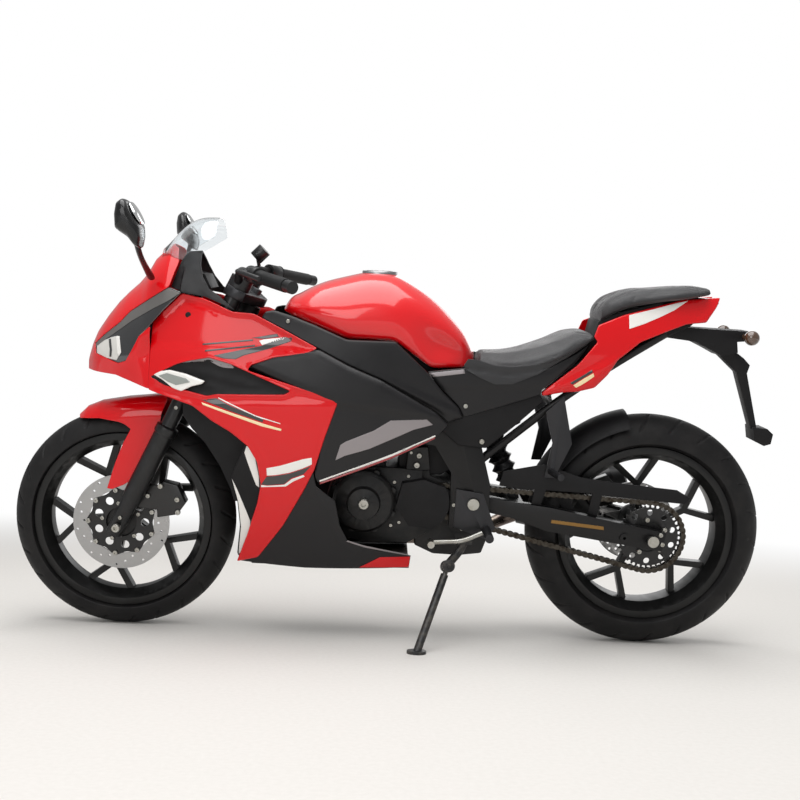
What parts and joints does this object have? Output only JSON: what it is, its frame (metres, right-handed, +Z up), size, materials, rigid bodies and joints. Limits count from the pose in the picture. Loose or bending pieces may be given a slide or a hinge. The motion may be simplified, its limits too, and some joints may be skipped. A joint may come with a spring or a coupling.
{
  "type": "sport motorcycle",
  "caption": "Parked sport motorcycle with a full red and black fairing, low clip-on bars, split seat and side stand; wheels roll, steering turns, stand folds, fuel cap opens.",
  "frame": {"origin": "middle of the parked bike's footprint, on the ground", "axes": "+X towards the front of the bike, +Y to the rider's left (the side it leans to), +Z up"},
  "size_m": [2.0059, 0.8102, 1.17],
  "materials": {
    "caliper_alloy": "cast, anodised",
    "cap_alloy": "satin",
    "cast_alloy": "cast, painted dark",
    "chain_steel": "oiled steel",
    "clear_screen": "clear polycarbonate",
    "cover_black": "satin black moulding",
    "disc_steel": "ground stainless steel",
    "engine_black": "satin black on cast aluminium",
    "exhaust_steel": "heat stained stainless",
    "fairing_red": "gloss red, painted ABS",
    "fork_black": "satin black paint",
    "frame_black": "satin black powder coat",
    "gold_alloy": "gold anodised",
    "grip_rubber": "moulded rubber",
    "lamp_lens": "dark clear polycarbonate",
    "matte_black": "grained black polypropylene",
    "mirror_black": "gloss black moulding",
    "rim_black": "gloss black paint on cast aluminium",
    "satin_black": "satin black",
    "seat_cover": "grained vinyl over foam",
    "signal_amber": "amber moulded lens",
    "signal_lens": "clear moulded lens",
    "silencer_black": "satin black",
    "stand_grey": "painted steel",
    "steel": "plated steel",
    "tail_lens": "red moulded lens",
    "tank_red": "gloss red lacquer on pressed steel",
    "tyre": "moulded rubber"
  },
  "bodies": {
    "chassis": {"belly_pan": "cover_black", "chain": "chain_steel", "chain_guard": "matte_black", "engine": "engine_black", "engine_covers": "engine_black", "exhaust_pipe": "exhaust_steel", "foot_controls": "steel", "footrests": "cast_alloy", "frame_covers": "cover_black", "front_signals": "signal_lens", "fuel_tank": "tank_red", "headlights": "lamp_lens", "inner_cowl": "matte_black", "instrument_panel": "matte_black", "main_frame": "frame_black", "mirrors": "mirror_black", "nose_cowl": "fairing_red", "passenger_seat": "seat_cover", "plate_hanger": "matte_black", "radiator": "cast_alloy", "rear_caliper": "caliper_alloy", "rear_hugger": "matte_black", "rear_shock": "gold_alloy", "rear_signals": "signal_amber", "rear_spindles": "steel", "rear_subframe": "frame_black", "rider_seat": "seat_cover", "seat_panels": "cover_black", "side_fairings": "fairing_red", "side_vents": "matte_black", "silencer": "silencer_black", "sprocket_cover": "matte_black", "stand_bracket": "stand_grey", "swingarm": "frame_black", "tail_light": "tail_lens", "tail_panels": "fairing_red", "tail_tray": "matte_black", "tank_covers": "cover_black", "windscreen": "clear_screen"},
    "steering": {"fork_legs": "fork_black", "triple_clamps": "cast_alloy", "handlebars": "satin_black", "grips": "grip_rubber", "hand_controls": "satin_black", "front_fender": "fairing_red", "front_axle": "steel", "front_caliper": "caliper_alloy"},
    "front_wheel": {"front_rim": "rim_black", "front_tyre": "tyre", "front_disc": "disc_steel"},
    "rear_wheel": {"rear_rim": "rim_black", "rear_tyre": "tyre", "rear_disc": "disc_steel", "rear_sprocket": "steel"},
    "side_stand": {"side_stand": "stand_grey"},
    "fuel_lid": {"fuel_lid": "cap_alloy"}
  },
  "joints": [
    {"name": "steering_turn", "type": "hinge", "parent": "chassis", "child": "steering", "pos_m": [0.48973, -0.06889, 0.66603], "axis": [-0.4289, 0.1569, 0.8896], "range_deg": [-27, 27]},
    {"name": "front_wheel_spin", "type": "hinge", "parent": "steering", "child": "front_wheel", "pos_m": [0.71008, -0.13531, 0.28938], "axis": [0, 0.9848, -0.1736], "continuous": true},
    {"name": "rear_wheel_spin", "type": "hinge", "parent": "chassis", "child": "rear_wheel", "pos_m": [-0.67627, -0.13162, 0.31029], "axis": [0, 0.9848, -0.1736], "continuous": true},
    {"name": "side_stand_fold", "type": "hinge", "parent": "chassis", "child": "side_stand", "pos_m": [-0.14797, 0.02036, 0.20472], "axis": [-0.137, 0.9776, 0.1597], "range_deg": [0, 95]},
    {"name": "fuel_lid_open", "type": "hinge", "parent": "chassis", "child": "fuel_lid", "pos_m": [0.09703, -0.01624, 0.96462], "axis": [0, 0.9848, -0.1736], "range_deg": [0, 100]}
  ]
}
